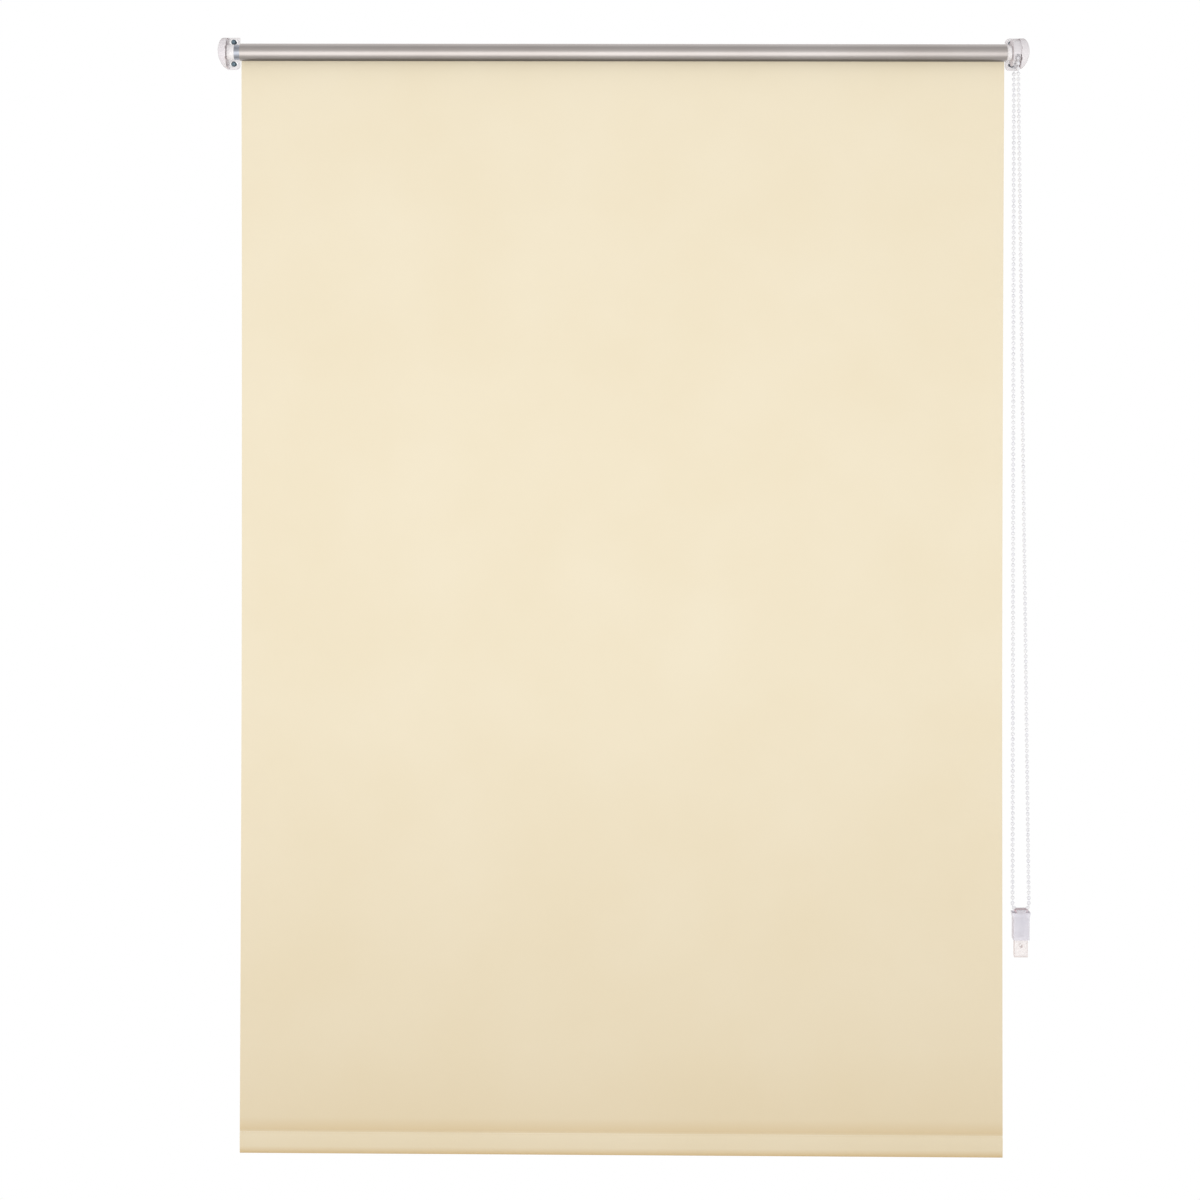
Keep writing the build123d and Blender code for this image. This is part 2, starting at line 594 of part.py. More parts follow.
nodes = {
    "bracket_left": bracket_left,
    "bracket_right": bracket_right,
    "cover_left": cover_left,
    "cover_right": cover_right,
    "screws_left": screw_pair(-screw_x),
    "screws_right": screw_pair(screw_x),
    "roller_tube": roller_tube,
    "fixing_tape": fixing_tape(),
    "cloth_turns": cloth_turns(),
    "cloth_sheet": cloth_sheet(),
    "hem": hem(),
    "bottom_bar": bottom_bar(),
    "idle_plug": idle_plug(),
    "idle_pin": idle_pin(),
    "idle_spring": coil(spring_room, chamber_end, PIN_RADIUS + FIT, IDLE_COILS),
    "drive_plug": drive_plug(),
    "chain_wheel": chain_wheel(),
    "clutch_post": clutch_post(),
    "clutch_spring": coil(hub_end + WHEEL_CLEAR, bearing_end - WHEEL_CLEAR, POST_RADIUS + FIT, CLUTCH_COILS),
    "drive_housing": drive_housing(),
    "bead_chain": bead_chain(),
    "tensioner_case": tensioner_case(),
    "tensioner_saddle": tensioner_saddle(),
    "tensioner_slider": tensioner_slider(),
    "tension_spring": tension_spring(),
}

os.makedirs("parts", exist_ok=True)
for name, shape in nodes.items():
    export_step(shape, f"parts/{name}.step")
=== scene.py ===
from math import cos, pi, radians, sin

import bmesh
import bpy
from mathutils import Matrix, Vector


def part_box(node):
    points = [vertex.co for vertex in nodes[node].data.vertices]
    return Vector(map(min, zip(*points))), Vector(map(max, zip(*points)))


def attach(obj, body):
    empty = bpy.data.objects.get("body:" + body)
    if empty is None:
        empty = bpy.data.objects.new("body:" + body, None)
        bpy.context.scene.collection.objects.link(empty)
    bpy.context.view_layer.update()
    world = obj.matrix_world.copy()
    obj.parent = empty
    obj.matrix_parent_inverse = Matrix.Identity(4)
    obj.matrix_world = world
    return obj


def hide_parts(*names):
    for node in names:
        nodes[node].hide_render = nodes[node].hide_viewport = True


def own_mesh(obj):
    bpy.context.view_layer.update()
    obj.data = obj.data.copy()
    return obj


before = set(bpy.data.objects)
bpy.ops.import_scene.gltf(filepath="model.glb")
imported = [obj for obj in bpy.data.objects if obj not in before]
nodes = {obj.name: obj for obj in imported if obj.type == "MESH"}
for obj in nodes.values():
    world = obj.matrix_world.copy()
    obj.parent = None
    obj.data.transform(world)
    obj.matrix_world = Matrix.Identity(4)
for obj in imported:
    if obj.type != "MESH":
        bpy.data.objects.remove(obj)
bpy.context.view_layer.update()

# Wall brackets
# Two clear moulded plates with slots for the wall screws and a D side plate that holds the roller.
# Injection moulded in polycarbonate, slightly milky, with a faint pink cast where the walls are seen on edge.

mm = 0.001


def linear(hex_colour):
    """Linear colour of a written sRGB colour."""
    parts = [int(hex_colour[i:i + 2], 16) / 255 for i in (0, 2, 4)]
    return [c / 12.92 if c <= 0.04045 else ((c + 0.055) / 1.055) ** 2.4 for c in parts] + [1.0]


def add_node(material, kind, links=(), **values):
    """A new node with its settings and input values, and links into it as (input, node, output)."""
    tree = material.node_tree
    node = tree.nodes.new("ShaderNode" + kind)
    for name, value in values.items():
        if hasattr(node, name):
            setattr(node, name, value)
        else:
            node.inputs[name.replace("_", " ")].default_value = value
    for socket, source, output in links:
        tree.links.new(source.outputs[output], node.inputs[socket])
    return node


def new_material(name):
    """An empty material and its output node."""
    material = bpy.data.materials.new(name)
    material.use_nodes = True
    material.node_tree.nodes.clear()
    return material, add_node(material, "OutputMaterial")


def join(material, source, output, target, socket):
    material.node_tree.links.new(source.outputs[output], target.inputs[socket])


def moulded_plastic(name, colour, shade, roughness, clear=0.0, edge=None):
    """Moulded plastic: flow marks in colour and gloss, see-through where it is seen square on."""
    flow_mark = 11 * mm
    skin_grain = 0.8 * mm
    material, out = new_material(name)
    where = add_node(material, "TexCoord")
    flow = add_node(material, "TexNoise", [("Vector", where, "Object")], Scale=1 / flow_mark, Detail=3.0)
    skin = add_node(material, "TexNoise", [("Vector", where, "Object")], Scale=1 / skin_grain, Detail=1.0)
    tone = add_node(material, "ValToRGB", [("Fac", flow, "Fac")])
    tone.color_ramp.elements[0].position = 0.3
    tone.color_ramp.elements[0].color = linear(shade)
    tone.color_ramp.elements[1].position = 0.7
    tone.color_ramp.elements[1].color = linear(colour)
    slope = add_node(material, "LayerWeight", Blend=0.4)
    depth = add_node(material, "MapRange", [("Value", slope, "Facing")], From_Min=0.4, From_Max=1.0)
    tint = add_node(material, "Mix", [(0, depth, "Result"), (6, tone, "Color")], data_type="RGBA")
    tint.inputs[7].default_value = linear(edge or shade)
    gloss = add_node(material, "MapRange", [("Value", flow, "Fac")], To_Min=roughness * 0.8, To_Max=roughness * 1.3)
    bump = add_node(material, "Bump", [("Height", skin, "Fac")], Strength=0.05, Distance=0.02 * mm)
    body = add_node(
        material, "BsdfPrincipled",
        [("Base Color", tint, 2), ("Roughness", gloss, "Result"), ("Normal", bump, "Normal")],
    )
    if clear:
        cover = add_node(material, "MapRange", [("Value", slope, "Facing")], To_Min=1 - clear, To_Max=0.9)
        join(material, cover, "Result", body, "Alpha")
    join(material, body, "BSDF", out, "Surface")
    return material


def dress(material, *names):
    """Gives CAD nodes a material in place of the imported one."""
    for name in names:
        mesh = nodes[name].data
        mesh.materials.clear()
        mesh.materials.append(material)


clear_plastic = moulded_plastic("clear_plastic", "FAF5F7", "F2EAED", 0.15, clear=0.65, edge="93787D")
dress(clear_plastic, "bracket_left", "bracket_right")

# Fixing screws
# Four pan head screws in bright zinc plated steel, two to a bracket, driven through the slots.
# The heads are cold formed with a cross recess, and the thread is rolled up to the plain neck.

screw_radius = 1.75 * mm
head_radius = 3.1 * mm
thread_pitch = 1.3 * mm
thread_height = 0.32 * mm
thread_start = 0.5 * mm
ridge_half = 0.35 * mm
ridge_sunk = 0.05 * mm
plain_end = 3.6 * mm


def worked_metal(name, bright, dull, roughness, stretch, metallic=1.0):
    """Drawn or plated metal: streaks along one direction in gloss and relief, and soft patches in colour."""
    streak_width = 2.5 * mm
    patch = 17 * mm
    material, out = new_material(name)
    where = add_node(material, "TexCoord")
    along = add_node(material, "Mapping", [("Vector", where, "Object")], Scale=stretch)
    streak = add_node(material, "TexNoise", [("Vector", along, "Vector")], Scale=1 / streak_width, Detail=4.0)
    cloud = add_node(material, "TexNoise", [("Vector", where, "Object")], Scale=1 / patch, Detail=2.0)
    tone = add_node(material, "ValToRGB", [("Fac", cloud, "Fac")])
    tone.color_ramp.elements[0].position = 0.35
    tone.color_ramp.elements[0].color = linear(dull)
    tone.color_ramp.elements[1].position = 0.65
    tone.color_ramp.elements[1].color = linear(bright)
    gloss = add_node(
        material, "MapRange", [("Value", streak, "Fac")], To_Min=roughness * 0.7, To_Max=roughness * 1.4,
    )
    bump = add_node(material, "Bump", [("Height", streak, "Fac")], Strength=0.15, Distance=0.03 * mm)
    body = add_node(
        material, "BsdfPrincipled",
        [("Base Color", tone, "Color"), ("Roughness", gloss, "Result"), ("Normal", bump, "Normal")],
    )
    body.inputs["Metallic"].default_value = metallic
    join(material, body, "BSDF", out, "Surface")
    return material


def new_piece(name, mesh_maker, materials, body, smooth=True):
    """A mesh object at the origin with the materials it is given, which rides on a body when one is named."""
    mesh = bpy.data.meshes.new(name)
    mesh_maker.to_mesh(mesh)
    mesh_maker.free()
    for material in materials:
        mesh.materials.append(material)
    for face in mesh.polygons:
        face.use_smooth = smooth
    piece = bpy.data.objects.new(name, mesh)
    bpy.context.collection.objects.link(piece)
    if body:
        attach(piece, body)
    return piece


zinc = worked_metal("zinc_plated_steel", "7E939E", "36404A", 0.22, (1.0, 1.0, 1.0))
dress(zinc, "screws_left", "screws_right")

thread = bmesh.new()
for name in ("screws_left", "screws_right"):
    low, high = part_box(name)
    x = (low[0] + high[0]) / 2
    for z in (low[2] + head_radius, high[2] - head_radius):
        turns = int((high[1] - plain_end) / thread_pitch)
        ridge = [
            thread.verts.new((x, thread_start + dy, z + screw_radius + rise))
            for dy, rise in ((-ridge_half, -ridge_sunk), (0.0, thread_height), (ridge_half, -ridge_sunk))
        ]
        edges = [thread.edges.new(pair) for pair in zip(ridge, ridge[1:])]
        steps = 12 * turns
        bmesh.ops.spin(
            thread, geom=ridge + edges, cent=(x, 0, z), axis=(0, 1, 0), angle=2 * pi * turns, steps=steps,
            dvec=(0, turns * thread_pitch / steps, 0),
        )
bmesh.ops.recalc_face_normals(thread, faces=thread.faces)
new_piece("screw_threads", thread, [zinc], "wall_side")

# End covers
# Domed clip-on caps that hide the side plates and the pin or the post behind them.
# Moulded in a milkier grade of the same plastic, with two latch windows in the rim.

milky_plastic = moulded_plastic("milky_plastic", "FEFBFD", "F8F3F7", 0.18, clear=0.3, edge="B0979A")
dress(milky_plastic, "cover_left", "cover_right")

# Roller
# A 17 mm tube of thin rolled steel, left bare at the idle end, with a strip of tape under the cloth.
# Cold rolled and seam welded, so its grain runs along the tube.

tube_steel = worked_metal("rolled_steel", "B9BDC6", "A3A7B0", 0.36, (0.02, 1.0, 1.0))
dress(tube_steel, "roller_tube")
tape = moulded_plastic("adhesive_tape", "DAD8CC", "CBC8B8", 0.5)
dress(tape, "fixing_tape")

# Cloth
# One length of coated polyester: cream weave to the room, silver coated reverse towards the wall.
# Cut with straight edges, taped to the tube, and wound with the reverse outward.

axis_y = -20.5 * mm
cloth = 0.45 * mm
half_step = 0.125 * mm
roll_start = 9.68 * mm
sheet_low, sheet_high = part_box("cloth_sheet")
cloth_left, cloth_right = sheet_low[0], sheet_high[0]
cloth_width = cloth_right - cloth_left
sheet_middle = (sheet_low[1] + sheet_high[1]) / 2


def cloth_material(name, colour, shade, roughness, metallic, weave_depth, foot_shade=0.0, glossy_nip_shade=0.0):
    """Coated cloth: a fine plain weave in relief, soft clouds of colour, and painted shade that turns it darker and
    yellower towards the foot.
    """
    # The real threads lie about 0.3 mm apart, and are drawn coarser so that they show.
    # The bands of a wave texture lie pi / 10 / Scale apart.
    thread_gap = 0.45 * mm
    cloud_size = 143 * mm
    slub_size = 1.1 * mm
    material, out = new_material(name)
    where = add_node(material, "TexCoord")
    warp = add_node(
        material, "TexWave", [("Vector", where, "Object")], wave_type="BANDS", bands_direction="X",
        Scale=pi / 10 / thread_gap, Distortion=0.4,
    )
    weft = add_node(
        material, "TexWave", [("Vector", where, "Object")], wave_type="BANDS", bands_direction="Z",
        Scale=pi / 10 / thread_gap, Distortion=0.4,
    )
    weave = add_node(
        material, "Math", [(0, warp, "Fac"), (1, weft, "Fac")], operation="MULTIPLY",
    )
    cloud = add_node(material, "TexNoise", [("Vector", where, "Object")], Scale=1 / cloud_size, Detail=3.0)
    slub = add_node(material, "TexNoise", [("Vector", where, "Object")], Scale=1 / slub_size, Detail=2.0)
    tone = add_node(material, "ValToRGB", [("Fac", cloud, "Fac")])
    tone.color_ramp.elements[0].position = 0.3
    tone.color_ramp.elements[0].color = linear(shade)
    tone.color_ramp.elements[1].position = 0.7
    tone.color_ramp.elements[1].color = linear(colour)
    axes = add_node(material, "SeparateXYZ", [("Vector", where, "Object")])
    down = add_node(material, "MapRange", [("Value", axes, "Z")], From_Min=-0.7, From_Max=-1.255)
    # Painted shade: towards the foot the colour is mixed towards D1B480, darker and yellower.
    foot_shade_ramp = add_node(material, "ValToRGB", [("Fac", down, "Result")])
    foot_shade_ramp.color_ramp.elements[0].color = (0, 0, 0, 1)
    foot_shade_ramp.color_ramp.elements[1].color = (5 * foot_shade,) * 3 + (1,)
    # Painted shade in the crease where the cloth is drawn in above the stitches, and under its fold at the foot.
    for place, share in ((0.78, 0.9), (0.925, 1.5), (0.95, 3.0), (0.958, 0.9), (0.985, 1.2), (0.993, 2.9)):
        foot_shade_ramp.color_ramp.elements.new(place).color = (share * foot_shade,) * 3 + (1,)
    foot_shaded_tone = add_node(material, "Mix", [(0, foot_shade_ramp, "Color"), (6, tone, "Color")], data_type="RGBA")
    foot_shaded_tone.inputs[7].default_value = linear("D1B480")
    # Painted shade: glossy rays see the cloth darkened towards 3A332C, so the roll's underside reflects it dark
    # instead of the lit face.
    ray = add_node(material, "LightPath")
    shaded = add_node(material, "Math", [(0, ray, "Is Glossy Ray")], operation="MULTIPLY")
    shaded.inputs[1].default_value = glossy_nip_shade
    seen = add_node(material, "Mix", [(0, shaded, "Value"), (6, foot_shaded_tone, 2)], data_type="RGBA")
    seen.inputs[7].default_value = linear("3A332C")
    height = add_node(material, "Math", [(0, weave, "Value"), (1, slub, "Fac")], operation="ADD")
    bump = add_node(material, "Bump", [("Height", height, "Value")], Strength=0.35, Distance=weave_depth)
    body = add_node(
        material, "BsdfPrincipled", [("Base Color", seen, 2), ("Normal", bump, "Normal")], Roughness=roughness,
    )
    body.inputs["Metallic"].default_value = metallic
    join(material, body, "BSDF", out, "Surface")
    return material


cream = cloth_material("cream_cloth", "EDE2C8", "EBDFC3", 0.8, 0.0, 0.05 * mm, foot_shade=0.2, glossy_nip_shade=0.85)
silver = cloth_material("silver_reverse", "BEB8B5", "B6AFAB", 0.36, 0.92, 0.012 * mm)
cut_edge = cloth_material("cut_edge", "CDBBA0", "BCA98E", 0.85, 0.0, 0.05 * mm)


def clothe(piece, front, back):
    """Gives a sheet its thickness, with one material each side and a crisp cut edge between them."""
    # The sheet's border is marked sharp, or its shading would turn dark towards the cut edge.
    border = bmesh.new()
    border.from_mesh(piece.data)
    for edge in border.edges:
        edge.smooth = not edge.is_boundary
    border.to_mesh(piece.data)
    border.free()
    piece.data.materials.clear()
    for material in (front, back, cut_edge):
        piece.data.materials.append(material)
    wall = piece.modifiers.new("thickness", "SOLIDIFY")
    wall.thickness = cloth
    wall.offset = 0.0
    wall.material_offset = 1
    wall.material_offset_rim = 2
    wall.use_even_offset = True


roll = bmesh.new()
edge_vertex = roll.verts.new((cloth_left, axis_y + roll_start + cloth / 2, 0))
for i in range(4):
    side = 1 if i % 2 == 0 else -1
    swept = bmesh.ops.spin(
        roll, geom=[edge_vertex], cent=(0, axis_y + side * half_step, 0), axis=(1, 0, 0), angle=pi, steps=28,
    )
    edge_vertex = [v for v in swept["geom_last"] if isinstance(v, bmesh.types.BMVert)][0]
bmesh.ops.remove_doubles(roll, verts=roll.verts, dist=0.001 * mm)
swept = bmesh.ops.extrude_edge_only(roll, edges=roll.edges)
far = [v for v in swept["geom"] if isinstance(v, bmesh.types.BMVert)]
bmesh.ops.translate(roll, verts=far, vec=(cloth_width, 0, 0))
lengthwise = [e for e in roll.edges if abs(e.verts[0].co.x - e.verts[1].co.x) > 1 * mm]
bmesh.ops.subdivide_edges(roll, edges=lengthwise, cuts=20)
bmesh.ops.recalc_face_normals(roll, faces=roll.faces)
outermost = max(roll.faces, key=lambda f: f.calc_center_median().z)
if outermost.normal.z < 0:
    bmesh.ops.reverse_faces(roll, faces=roll.faces)
roll_piece = new_piece("cloth_roll", roll, [], "roller")
clothe(roll_piece, silver, cream)
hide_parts("cloth_turns")

# Hanging cloth
# The same cloth between the roll and the hem, kept flat by the weight bar.
# It draws in a little at half height, and its edges wave very slightly.

waist = 1.3 * mm
ripple = 0.25 * mm
edge_wave = 0.3 * mm
sheet_height = sheet_high[2] - sheet_low[2]
drop = bmesh.new()
bmesh.ops.create_grid(drop, x_segments=60, y_segments=86, size=0.5)
bmesh.ops.scale(drop, vec=(cloth_width, sheet_height, 1), verts=drop.verts)
bmesh.ops.rotate(drop, cent=(0, 0, 0), matrix=Matrix.Rotation(pi / 2, 3, "X"), verts=drop.verts)
bmesh.ops.translate(drop, verts=drop.verts, vec=(0, sheet_middle, (sheet_low[2] + sheet_high[2]) / 2))
for v in drop.verts:
    down = (sheet_high[2] - v.co.z) / sheet_height
    out = 2 * v.co.x / cloth_width
    v.co.x -= out * waist * sin(pi * down)
    fade = sin(pi * min(max(down, 0), 1))
    v.co.y += fade * (ripple * sin(9 * out + 2 * down) + edge_wave * out ** 6 * sin(14 * down))
sheet_piece = new_piece("hanging_cloth", drop, [], "wall_side")
clothe(sheet_piece, cream, silver)
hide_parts("cloth_sheet")

# Hem and weight bar
# The foot of the cloth is turned up over a flat aluminium bar and lock stitched across.
# The thread is cream polyester, and the pocket stays open at both ends.

hem_low, hem_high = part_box("hem")
stitch_line = hem_low[2] + 24.5 * mm
pocket_top = hem_low[2] + 20.9 * mm
drawn_in = 0.6 * mm
hem_front = hem_low[1] + cloth / 2
hem_back = hem_high[1] - cloth / 2
pocket = bmesh.new()
round_radius = (hem_back - hem_front) / 2
foot = pocket.verts.new((cloth_left, hem_front, hem_low[2] + cloth / 2 + round_radius))
swept = bmesh.ops.spin(
    pocket, geom=[foot], cent=(0, hem_front + round_radius, hem_low[2] + cloth / 2 + round_radius),
    axis=(1, 0, 0), angle=pi, steps=10,
)
back_foot = [v for v in swept["geom_last"] if isinstance(v, bmesh.types.BMVert)][0]
face = [
    (hem_front, hem_high[2]), (hem_front + 0.3 * drawn_in, stitch_line + 1.5 * mm),
    (hem_front + drawn_in, stitch_line), (hem_front, stitch_line - 1.8 * mm),
    (hem_front - 1.3 * drawn_in, stitch_line - 5 * mm), (hem_front - drawn_in, stitch_line - 12 * mm),
]
back = [
    (hem_back, pocket_top), (hem_front + drawn_in + cloth * 1.05, stitch_line),
    (hem_front + cloth * 1.05, hem_high[2]),
]
face = [pocket.verts.new((cloth_left, y, z)) for y, z in face] + [foot]
back = [back_foot] + [pocket.verts.new((cloth_left, y, z)) for y, z in back]
for path in (face, back):
    for pair in zip(path, path[1:]):
        pocket.edges.new(pair)
swept = bmesh.ops.extrude_edge_only(pocket, edges=pocket.edges)
far = [v for v in swept["geom"] if isinstance(v, bmesh.types.BMVert)]
bmesh.ops.translate(pocket, verts=far, vec=(cloth_width, 0, 0))
lengthwise = [e for e in pocket.edges if abs(e.verts[0].co.x - e.verts[1].co.x) > 1 * mm]
bmesh.ops.subdivide_edges(pocket, edges=lengthwise, cuts=60)
bmesh.ops.recalc_face_normals(pocket, faces=pocket.faces)
foremost = min(pocket.faces, key=lambda f: f.calc_center_median().y)
if foremost.normal.y > 0:
    bmesh.ops.reverse_faces(pocket, faces=pocket.faces)
hem_piece = new_piece("hem_pocket", pocket, [], "hem_bar")
clothe(hem_piece, cream, silver)
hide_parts("hem")

stitch_pitch = 3.2 * mm
stitch_size = 0.35 * mm, 0.3 * mm, 1.3 * mm, 1


def repeat(pattern, places):
    """A mesh with one copy of a small pattern mesh at each place."""
    single = bpy.data.meshes.new("pattern")
    pattern.to_mesh(single)
    pattern.free()
    many = bmesh.new()
    for place in places:
        single.transform(place)
        many.from_mesh(single)
        single.transform(place.inverted())
    return many


stitch = bmesh.new()
bmesh.ops.create_uvsphere(stitch, u_segments=6, v_segments=4, radius=1)
thick = Matrix.Rotation(pi / 2, 4, "Y") @ Matrix.Diagonal(stitch_size)
count = int(cloth_width / stitch_pitch)
stitch_places = [
    Matrix.Translation((cloth_left + (i + 0.5) * cloth_width / count, y, stitch_line)) @ thick
    for i in range(count) for y in (hem_low[1] + drawn_in, hem_front + drawn_in + 1.55 * cloth)
]
stitches = repeat(stitch, stitch_places)
sewing_thread = cloth_material("sewing_thread", "F7EEDA", "EADFC6", 0.6, 0.0, 0.03 * mm)
stitch_piece = new_piece("hem_stitches", stitches, [sewing_thread], "hem_bar")

aluminium = worked_metal("mill_aluminium", "D5D6D8", "BABCC0", 0.35, (0.02, 1.0, 1.0))
dress(aluminium, "bottom_bar")

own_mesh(sheet_piece)

# Idle end
# A ribbed plug with a white collar, and a pin that a spring pushes into the bracket.
# Plug and pin are moulded in acetal, and the spring is wound from steel wire.

white_plastic = moulded_plastic("white_acetal", "F8F6F7", "F0EDEF", 0.3)
dress(white_plastic, "idle_plug", "idle_pin")
spring_steel = worked_metal("spring_wire", "A3A6AB", "7E8187", 0.3, (1.0, 1.0, 1.0))
wire_radius = 0.4 * mm
pin_coil_radius = 2.6 * mm


def coil_spring(name, start, along, radius, length, turns, body):
    """Round wire coil from a start point on its axis."""
    along = Vector(along)
    side = along.orthogonal().normalized()
    spring = bmesh.new()
    place = Matrix.Translation(Vector(start) + side * radius + along * wire_radius)
    place @= along.cross(side).to_track_quat("Z", "Y").to_matrix().to_4x4()
    ring = bmesh.ops.create_circle(spring, cap_ends=False, radius=wire_radius, segments=8, matrix=place)
    steps = 24 * turns
    bmesh.ops.spin(
        spring, geom=ring["verts"] + spring.edges[:], cent=start, axis=along, angle=2 * pi * turns, steps=steps,
        dvec=along * (length - 2 * wire_radius) / steps,
    )
    bmesh.ops.holes_fill(spring, edges=[e for e in spring.edges if e.is_boundary], sides=0)
    bmesh.ops.recalc_face_normals(spring, faces=spring.faces)
    return new_piece(name, spring, [spring_steel], body)


low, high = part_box("idle_spring")
idle_coil = coil_spring(
    "idle_pin_spring", (low[0], axis_y, 0), (1, 0, 0), pin_coil_radius, high[0] - low[0], 8, "roller",
)
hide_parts("idle_spring")
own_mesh(idle_coil)

# Drive end
# The chain wheel turns on a fixed post and drives the plug through a wrap spring that brakes it.
# Wheel, post and plug are acetal, the drum is of the covers' plastic, the spring is steel wire.

clutch_coil_radius = 3.45 * mm
dress(white_plastic, "drive_plug", "chain_wheel", "clutch_post")
dress(milky_plastic, "drive_housing")
low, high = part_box("clutch_spring")
clutch_coil = coil_spring(
    "clutch_wrap_spring", (low[0], axis_y, 0), (1, 0, 0), clutch_coil_radius, high[0] - low[0], 12, "roller",
)
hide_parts("clutch_spring")

# Bead chain
# An endless chain of 334 moulded beads on one cord, 6 mm apart, round the wheel and the saddle.
# Beads and cord are moulded together in white acetal, so there is no joining clip.

bead_pitch = 6 * mm
bead_radius = 2.25 * mm
bead_count = 334
cord_radius = 0.6 * mm
wheel_pockets = 12
wheel_radius = wheel_pockets * bead_pitch / (2 * pi)
saddle_radius = 9.2 * mm
case_low, case_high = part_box("tensioner_case")
saddle_x = (case_low[0] + case_high[0]) / 2
saddle_y = (case_low[1] + case_high[1]) / 2
saddle_rise = 6.3 * mm
saddle_z = case_high[2] + saddle_rise
chain_x = saddle_x - saddle_radius
chain_back = Vector((chain_x, axis_y + wheel_radius, 0))
chain_front = Vector((chain_x, axis_y - wheel_radius, 0))
saddle_right = Vector((saddle_x + saddle_radius, saddle_y, saddle_z))
saddle_left = Vector((saddle_x - saddle_radius, saddle_y, saddle_z))


def chain_place(s):
    """Centre and direction of the chain at a length s from the back of the wheel."""
    if s < pi * wheel_radius:
        a = s / wheel_radius
        centre = Vector((chain_x, axis_y + wheel_radius * cos(a), wheel_radius * sin(a)))
        return centre, Vector((0, -sin(a), cos(a)))
    s -= pi * wheel_radius
    run = saddle_right - chain_front
    if s < run.length:
        return chain_front + run * (s / run.length), run.normalized()
    s -= run.length
    if s < pi * saddle_radius:
        a = s / saddle_radius
        centre = Vector((saddle_x + saddle_radius * cos(a), saddle_y, saddle_z - saddle_radius * sin(a)))
        return centre, Vector((-sin(a), 0, -cos(a)))
    run = chain_back - saddle_left
    return saddle_left + run.normalized() * (s - pi * saddle_radius), run.normalized()


bead = bmesh.new()
bmesh.ops.create_uvsphere(bead, u_segments=8, v_segments=6, radius=bead_radius)
bmesh.ops.create_cone(
    bead, cap_ends=False, segments=6, radius1=cord_radius, radius2=cord_radius, depth=bead_pitch - bead_radius,
    matrix=Matrix.Translation((0, 0, bead_pitch / 2)),
)
bead_places = []
for i in range(bead_count):
    centre, direction = chain_place(i * bead_pitch)
    bead_places.append(Matrix.Translation(centre) @ direction.to_track_quat("Z", "Y").to_matrix().to_4x4())
chain = repeat(bead, bead_places)
chain_plastic = moulded_plastic("chain_acetal", "FEFEFF", "F7F7FC", 0.3, clear=0.35, edge="E2E2EC")
chain_piece = new_piece("ball_chain", chain, [chain_plastic], "wall_side")
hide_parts("bead_chain")

# Chain tensioner
# A lilac-milky case with a half-round rosy saddle for the chain, and a foot with the screw hole.
# All three are moulded polycarbonate, and a spring in the case keeps the chain taut.

case_plastic = moulded_plastic("case_plastic", "F6F4FC", "EEECF6", 0.15, clear=0.4, edge="C6AFB5")
foot_plastic = moulded_plastic("foot_plastic", "FBF5F4", "F6EFEE", 0.15, clear=0.5, edge="D3AA9E")
saddle_plastic = moulded_plastic("saddle_plastic", "DDC3C8", "CDB0B6", 0.15, clear=0.2, edge="8F7077")
dress(case_plastic, "tensioner_case")
dress(saddle_plastic, "tensioner_saddle")
dress(foot_plastic, "tensioner_slider")
tension_coil_radius = 1.8 * mm
low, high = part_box("tension_spring")
tension_coil = coil_spring(
    "tensioner_coil", (saddle_x, saddle_y, low[2]), (0, 0, 1), tension_coil_radius, high[2] - low[2], 7, "wall_side",
)
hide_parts("tension_spring")
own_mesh(tension_coil)

# Floor, light and camera
# The blind hangs before white over a plain pale floor, lit by one large soft box and a pale room.
# The camera stands level with the upper part of the blind, a little left of its middle.

floor_level = -1.62
fibre_cloud = 100 / 3 * mm
floor_shape = bmesh.new()
bmesh.ops.create_grid(floor_shape, x_segments=1, y_segments=1, size=0.5)
bmesh.ops.scale(floor_shape, vec=(4.0, 2.0, 1), verts=floor_shape.verts)
bmesh.ops.translate(floor_shape, verts=floor_shape.verts, vec=(0, -0.5, floor_level))
paper, out = new_material("pale_floor")
where = add_node(paper, "TexCoord")
fibre = add_node(paper, "TexNoise", [("Vector", where, "Object")], Scale=1 / fibre_cloud, Detail=3.0)
tone = add_node(paper, "ValToRGB", [("Fac", fibre, "Fac")])
tone.color_ramp.elements[0].color = linear("E4E3E1")
tone.color_ramp.elements[1].color = linear("ECEBE9")
body = add_node(paper, "BsdfPrincipled", [("Base Color", tone, "Color")], Roughness=0.8)
join(paper, body, "BSDF", out, "Surface")
floor = new_piece("floor", floor_shape, [paper], None, smooth=False)

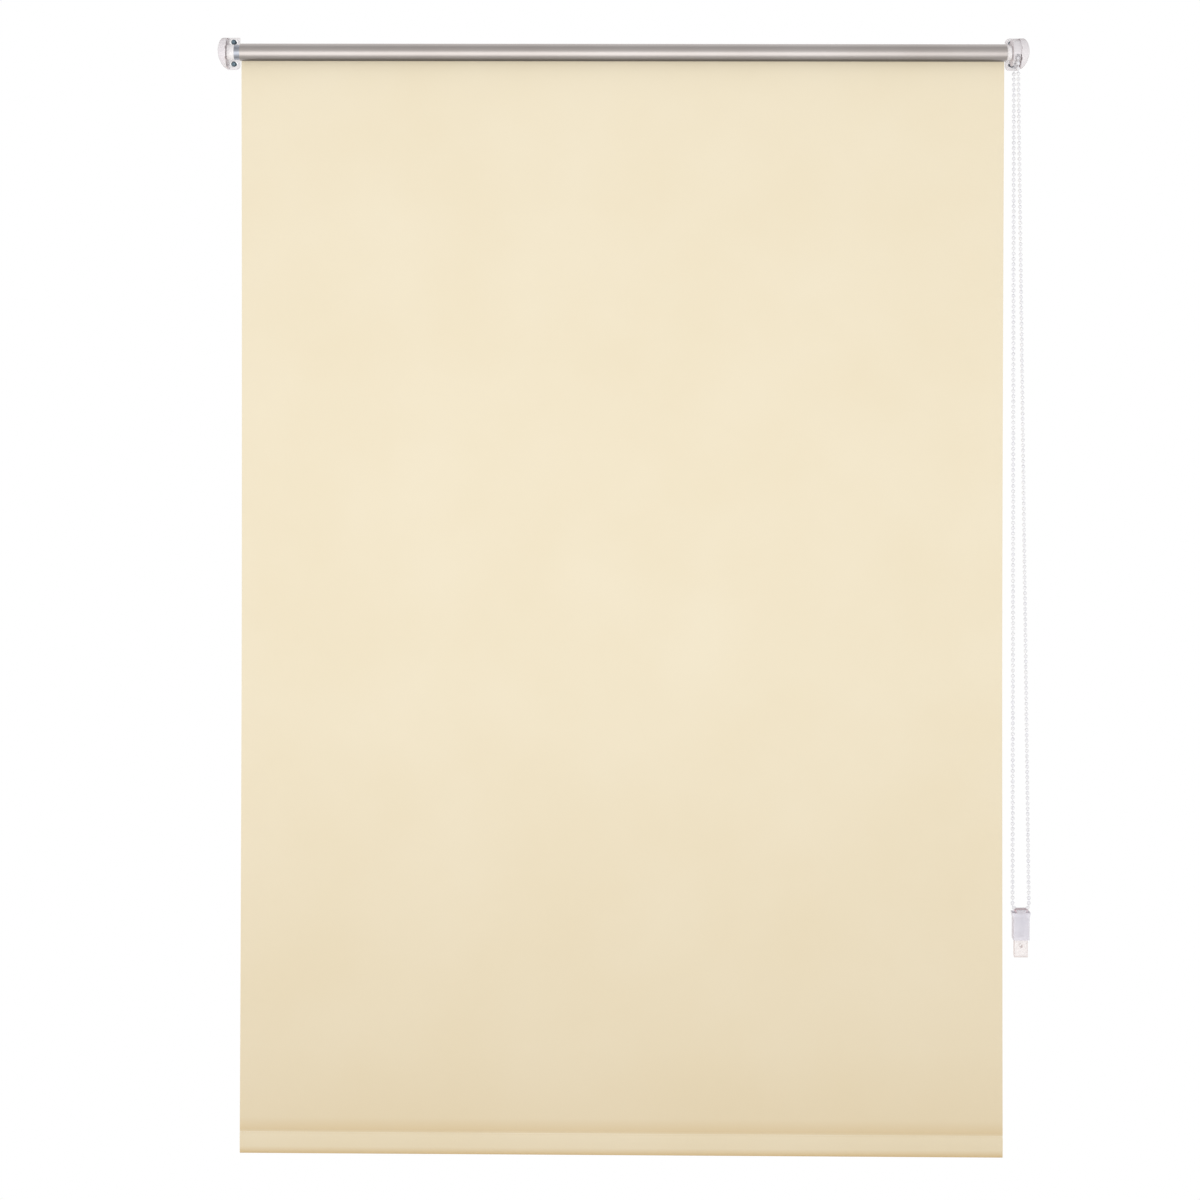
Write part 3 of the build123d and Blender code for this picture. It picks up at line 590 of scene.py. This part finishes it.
# White to the camera, through clear plastic and in gloss that shows what is behind the blind.
# All else sees pale walls, which are darker towards the floor.
world = bpy.data.worlds.new("studio")
bpy.context.scene.world = world
world.use_nodes = True
world.node_tree.nodes.clear()
out = add_node(world, "OutputWorld")
where = add_node(world, "TexCoord")
axes = add_node(world, "SeparateXYZ", [("Vector", where, "Generated")])
behind = add_node(world, "MapRange", [("Value", axes, "Y")], From_Min=-0.1, From_Max=0.15)
ray = add_node(world, "LightPath")
seen_behind = add_node(world, "Math", [(0, ray, "Is Glossy Ray"), (1, behind, "Result")], operation="MULTIPLY")
direct = add_node(world, "Math", [(0, ray, "Is Transmission Ray"), (1, ray, "Is Camera Ray")], operation="MAXIMUM")
white_share = add_node(world, "Math", [(0, seen_behind, "Value"), (1, direct, "Value")], operation="MAXIMUM")
height = add_node(world, "MapRange", [("Value", axes, "Z")], From_Min=-1.0, From_Max=1.0)
walls = add_node(world, "ValToRGB", [("Fac", height, "Result")])
walls.color_ramp.elements[0].color = (0.05, 0.045, 0.04, 1)
walls.color_ramp.elements[1].color = (0.52, 0.52, 0.53, 1)
levels = (0.05, 0.12), (0.1, 0.4), (0.18, 0.72), (0.28, 0.9), (0.42, 0.97), (0.55, 0.9), (0.7, 0.8), (0.85, 0.68)
for position, level in levels:
    walls.color_ramp.elements.new(position).color = (level, level * 0.99, level * 0.98, 1)
room = add_node(world, "Background", [("Color", walls, "Color")], Strength=1.0)
white = add_node(world, "Background", Strength=1.0)
white.inputs["Color"].default_value = (1, 1, 1, 1)
mixed = add_node(world, "MixShader", [(0, white_share, "Value"), (1, room, "Background"), (2, white, "Background")])
join(world, mixed, "Shader", out, "Surface")


def soft_box(name, place, target, size, watts):
    """A rectangular area lamp that faces a target."""
    lamp = bpy.data.lights.new(name, "AREA")
    lamp.shape = "RECTANGLE"
    lamp.size, lamp.size_y = size
    lamp.energy = watts
    holder = bpy.data.objects.new(name, lamp)
    holder.location = place
    holder.rotation_euler = (Vector(target) - Vector(place)).to_track_quat("-Z", "Y").to_euler()
    bpy.context.collection.objects.link(holder)


soft_box("key", (-0.25, -2.65, -1.0), (-0.05, 0, -0.5), (2.6, 2.7), 27)

camera = bpy.data.cameras.new("camera")
camera.sensor_width = 36
camera.lens = 66.12
camera.shift_x = 65.5 / 1200
camera.shift_y = -424.4 / 1200
camera.clip_end = 50
holder = bpy.data.objects.new("camera", camera)
holder.location = (-72 * mm, axis_y - 2500 * mm, -139.5 * mm)
holder.rotation_euler = (pi / 2, radians(-0.09), radians(0.63))
bpy.context.collection.objects.link(holder)
bpy.context.scene.camera = holder
bpy.context.scene.view_settings.view_transform = "Standard"
